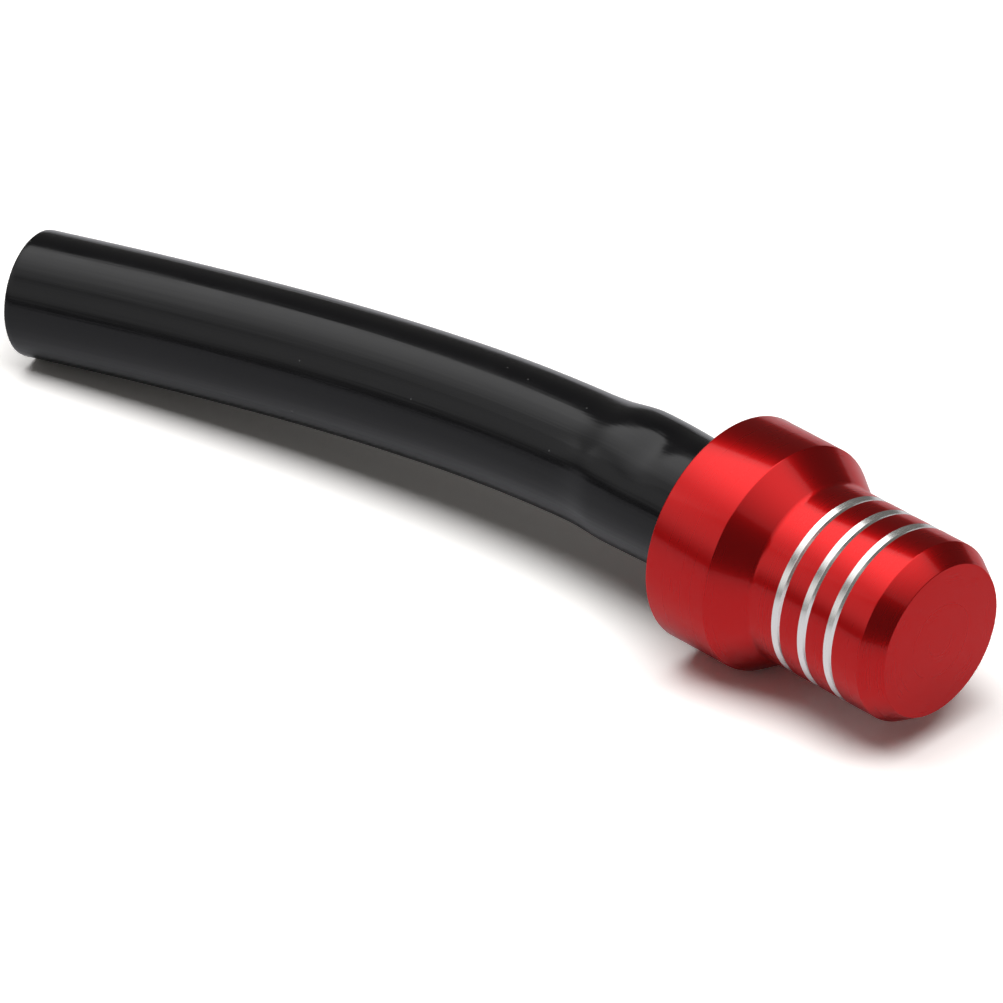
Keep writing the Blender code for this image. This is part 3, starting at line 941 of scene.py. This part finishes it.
def fade_panel(lamp, sizes, spot, reach, levels):
    """Fades a panel from one level to another over a reach of distances from a spot on it.

    The distances are counted on a panel of the given sizes, from its centre; along a size of 0 they
    don't count.
    """
    lamp.data.use_nodes = True
    tree = lamp.data.node_tree
    place_on_panel = tree.nodes.new("ShaderNodeNewGeometry").outputs["Parametric"]
    scaled = tree.nodes.new("ShaderNodeVectorMath")
    scaled.operation = "MULTIPLY_ADD"
    tree.links.new(place_on_panel, scaled.inputs[0])
    scaled.inputs[1].default_value = (*sizes, 0)
    scaled.inputs[2].default_value = (-sizes[0] / 2 - spot[0], -sizes[1] / 2 - spot[1], 0)
    away = tree.nodes.new("ShaderNodeVectorMath")
    away.operation = "LENGTH"
    tree.links.new(scaled.outputs[0], away.inputs[0])
    fade = tree.nodes.new("ShaderNodeMapRange")
    fade.interpolation_type = "SMOOTHSTEP"
    tree.links.new(away.outputs["Value"], fade.inputs["Value"])
    fade.inputs["From Min"].default_value, fade.inputs["From Max"].default_value = reach
    fade.inputs["To Min"].default_value, fade.inputs["To Max"].default_value = levels
    tree.links.new(fade.outputs["Result"], tree.nodes["Emission"].inputs["Strength"])


def add_lights():
    """A broad overhead key and a fill, which give the gloss, and the lamp that casts the shadow."""
    key = add_overhead("key", KEY_CENTRE, KEY_SIZE, 1.0)
    lamp = add_overhead("lamp", LAMP_CENTRE, LAMP_SIZE, LAMP_BRIGHT)
    fill = add_panel("fill", FILL_PLACE, (0, 0, 0), *FILL_SIZE, FILL_BRIGHT)
    fade_panel(key, KEY_SIZE, KEY_SPOT, KEY_REACH, KEY_LEVELS)
    fade_panel(fill, (0, 1), (0, 0), FILL_REACH, FILL_LEVELS)
    key.visible_diffuse = False
    fill.visible_diffuse = False
    lamp.visible_glossy = False


def add_camera():
    """A long lens from high on the nose's side, aimed at VIEW_TARGET."""
    camera = bpy.data.cameras.new("camera")
    camera.lens = LENS
    camera.sensor_width = SENSOR_WIDTH
    camera.clip_start = SEEN_FROM
    camera.clip_end = SEEN_TO
    viewer = bpy.data.objects.new("camera", camera)
    bpy.context.scene.collection.objects.link(viewer)
    back = Vector(
        (
            math.sin(VIEW_AZIMUTH) * math.cos(VIEW_ELEVATION),
            -math.cos(VIEW_AZIMUTH) * math.cos(VIEW_ELEVATION),
            math.sin(VIEW_ELEVATION),
        )
    )
    viewer.location = VIEW_TARGET + VIEW_DISTANCE * back
    viewer.rotation_euler = (-back).to_track_quat("-Z", "Y").to_euler()
    bpy.context.scene.camera = viewer


bpy.context.scene.view_settings.view_transform = "Standard"
add_camera()

red_anodised = turned_metal(
    "red_anodised",
    dark=(0.53, 0.0035, 0.0045),
    light=(0.54, 0.0036, 0.0047),
    roughness=(0.27, 0.29),
    anisotropy=0.4,
    grain=5000,
    bump=0.00000006,
    Specular_Tint=(1.0, 0.3, 0.3, 1.0),
    Coat_Weight=0.45,
    Coat_Roughness=0.12,
    Coat_IOR=1.5,
)
bright_cut = turned_metal(
    "bright_cut",
    dark=(0.80, 0.79, 0.77),
    light=(0.93, 0.92, 0.90),
    roughness=(0.16, 0.26),
    anisotropy=0.5,
    grain=16000,
    bump=0.000001,
)
brass = turned_metal(
    "brass",
    dark=(0.62, 0.43, 0.17),
    light=(0.80, 0.60, 0.30),
    roughness=(0.20, 0.34),
    anisotropy=0.5,
    grain=14000,
    bump=0.000003,
)
spring_steel = drawn_steel("spring_steel", roughness=(0.22, 0.38))
ball_steel = drawn_steel("ball_steel", roughness=(0.06, 0.14))
rubber = nitrile()

add_body(red_anodised, bright_cut)
add_hose(hose_skin(), hose_cut())
add_stem(brass)
add_seat_plug(brass)
add_o_ring(rubber)
add_seat_ring(rubber)
add_snap_ring(spring_steel)
add_spring(spring_steel)
add_ball(ball_steel)

add_floor()
add_world()
add_lights()
